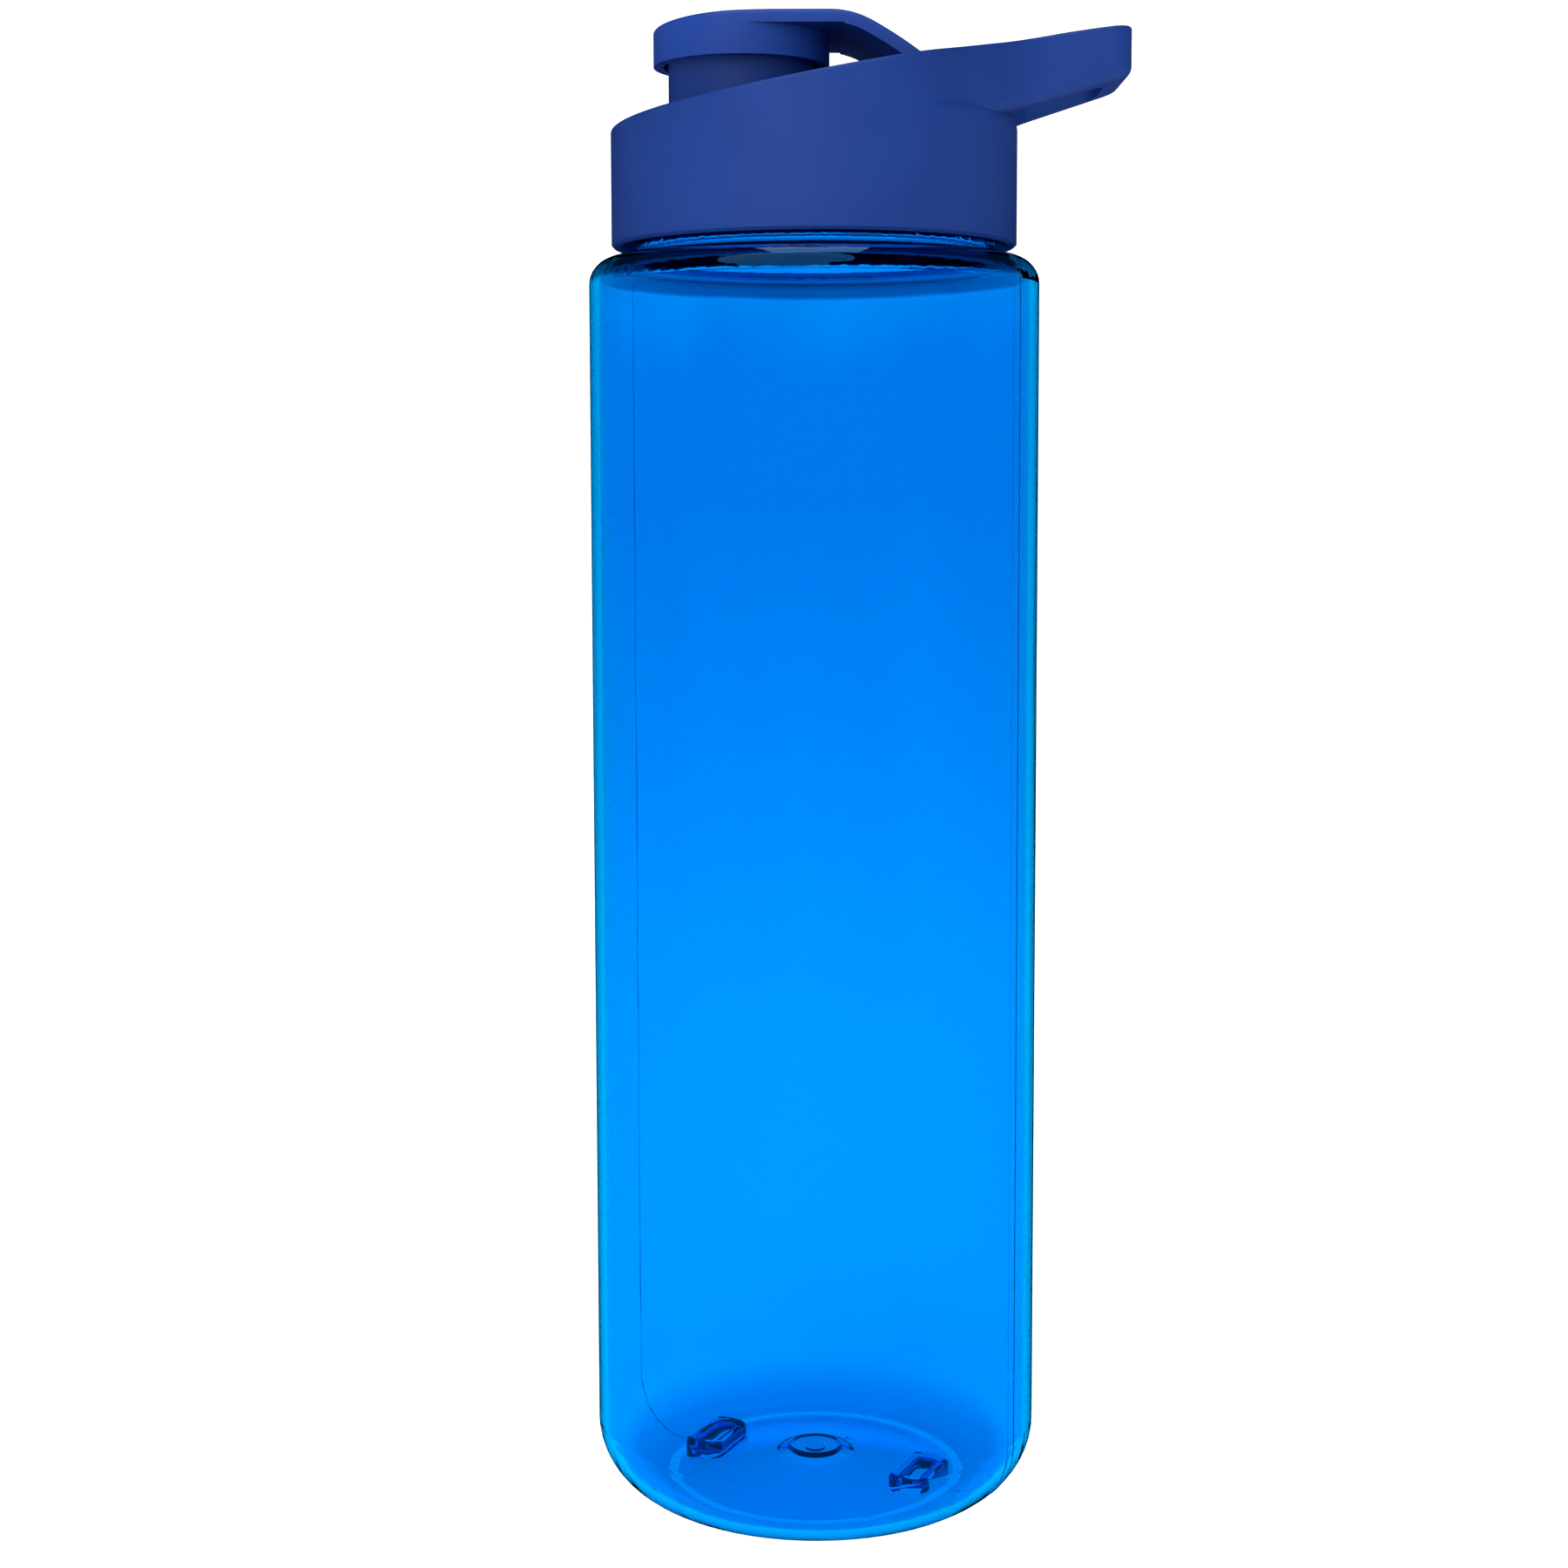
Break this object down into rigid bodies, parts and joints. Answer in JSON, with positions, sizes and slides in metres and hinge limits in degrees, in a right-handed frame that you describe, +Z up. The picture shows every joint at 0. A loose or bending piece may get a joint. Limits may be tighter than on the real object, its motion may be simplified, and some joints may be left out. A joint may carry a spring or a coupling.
{
  "type": "sports bottle",
  "caption": "Tall clear round drinking bottle with a screw-on lid that has a wide spout, a hinged flip cap and a carry loop.",
  "frame": {"origin": "centre of the standing ring, on the plane that the bottle stands on", "axes": "+Z up along the bottle's axis, +X towards the carry loop's tip"},
  "size_m": [0.0868, 0.073, 0.2409],
  "materials": {
    "clear_body": "clear tinted copolyester, polished",
    "lid_plastic": "moulded polypropylene, satin",
    "cap_plastic": "moulded polypropylene, satin",
    "seal_silicone": "translucent silicone",
    "pin_steel": "drawn stainless wire",
    "gasket_silicone": "translucent silicone"
  },
  "bodies": {
    "bottle": {"bottle_body": "clear_body"},
    "gasket": {"lid_gasket": "gasket_silicone"},
    "lid": {"screw_lid": "lid_plastic", "hinge_pin": "pin_steel"},
    "cap": {"flip_cap": "cap_plastic", "spout_seal": "seal_silicone"}
  },
  "joints": [
    {"name": "lid_rise", "type": "slide", "parent": "bottle", "child": "gasket", "axis": [0, 0, 1], "range_m": [0, 0.01505]},
    {"name": "lid_turn", "type": "hinge", "parent": "gasket", "child": "lid", "pos_m": [0, 0, 0.2122], "axis": [0, 0, 1], "range_deg": [0, 1080]},
    {"name": "cap_flip", "type": "hinge", "parent": "lid", "child": "cap", "pos_m": [0.017, 0, 0.22996], "axis": [0, 1, 0], "range_deg": [0, 95]}
  ],
  "couplings": [
    {"joint": "lid_rise", "follows": "lid_turn", "m_per_rad": 0.00079577}
  ]
}
